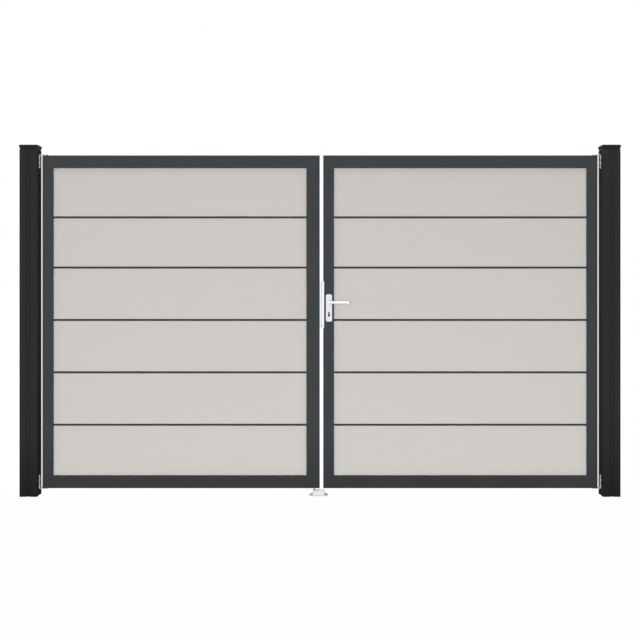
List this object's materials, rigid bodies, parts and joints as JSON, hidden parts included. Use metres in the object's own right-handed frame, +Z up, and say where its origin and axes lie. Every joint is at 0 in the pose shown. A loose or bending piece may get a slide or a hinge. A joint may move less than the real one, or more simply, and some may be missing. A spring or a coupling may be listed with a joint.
{
  "type": "double gate",
  "caption": "Double swing gate: board-filled framed leaves on corner pivots between hollow posts, with a lever lock and a drop bolt.",
  "frame": {"origin": "middle of the left post's foot, on the ground", "axes": "+X along the gate to the right post, +Y to the back, which the leaves open to, +Z up; the front with the pictured lever faces -Y"},
  "size_m": [3.2422, 0.158, 1.897],
  "materials": {
    "post": "fine charcoal powder coat",
    "post_cap": "fine charcoal powder coat",
    "frame": "matt anthracite powder coat",
    "board": "pale warm grey, fine even grain",
    "dark_plastic": "moulded black",
    "hinge_metal": "zinc plated",
    "keeper_metal": "cast, light blasted",
    "lock_metal": "satin stainless",
    "handle_metal": "silver anodised",
    "cylinder_metal": "black"
  },
  "bodies": {
    "ground_frame": {"left_post": "post", "right_post": "post", "left_post_cap": "post_cap", "right_post_cap": "post_cap", "left_pivot_brackets": "hinge_metal", "right_pivot_brackets": "hinge_metal", "floor_keeper": "keeper_metal"},
    "passive_leaf": {"passive_hinge_stile": "frame", "passive_lock_stile": "frame", "passive_top_rail": "frame", "passive_bottom_rail": "frame", "passive_pivot_blocks": "dark_plastic", "passive_lock_stile_plugs": "dark_plastic", "passive_divider_strips": "frame", "passive_board_1": "board", "passive_board_2": "board", "passive_board_3": "board", "passive_board_4": "board", "passive_board_5": "board", "passive_board_6": "board", "lock_keep": "lock_metal", "bolt_slot_plate": "lock_metal"},
    "active_leaf": {"active_hinge_stile": "frame", "active_lock_stile": "frame", "active_top_rail": "frame", "active_bottom_rail": "frame", "active_pivot_blocks": "dark_plastic", "active_lock_stile_plugs": "dark_plastic", "active_divider_strips": "frame", "active_board_1": "board", "active_board_2": "board", "active_board_3": "board", "active_board_4": "board", "active_board_5": "board", "active_board_6": "board", "lock_forend": "lock_metal", "lock_bolts": "lock_metal", "lock_cylinder": "cylinder_metal", "front_handle_plate": "handle_metal", "back_handle_plate": "handle_metal"},
    "lever": {"front_lever": "handle_metal", "back_lever": "handle_metal"},
    "drop_bolt": {"drop_rod": "hinge_metal", "drop_knob": "dark_plastic"}
  },
  "joints": [
    {"name": "passive_leaf_hinge", "type": "hinge", "parent": "ground_frame", "child": "passive_leaf", "pos_m": [0.086, 0, 0.942], "axis": [0, 0, 1], "range_deg": [0, 90]},
    {"name": "active_leaf_hinge", "type": "hinge", "parent": "ground_frame", "child": "active_leaf", "pos_m": [3.057, 0, 0.942], "axis": [0, 0, -1], "range_deg": [0, 90]},
    {"name": "lever_turn", "type": "hinge", "parent": "active_leaf", "child": "lever", "pos_m": [1.62, 0, 1.048], "axis": [0, 1, 0], "range_deg": [0, 40], "stiffness_Nm_per_rad": 1, "springref_deg": -34.38},
    {"name": "drop_bolt_slide", "type": "slide", "parent": "passive_leaf", "child": "drop_bolt", "axis": [0, 0, -1], "range_m": [0, 0.024]}
  ]
}
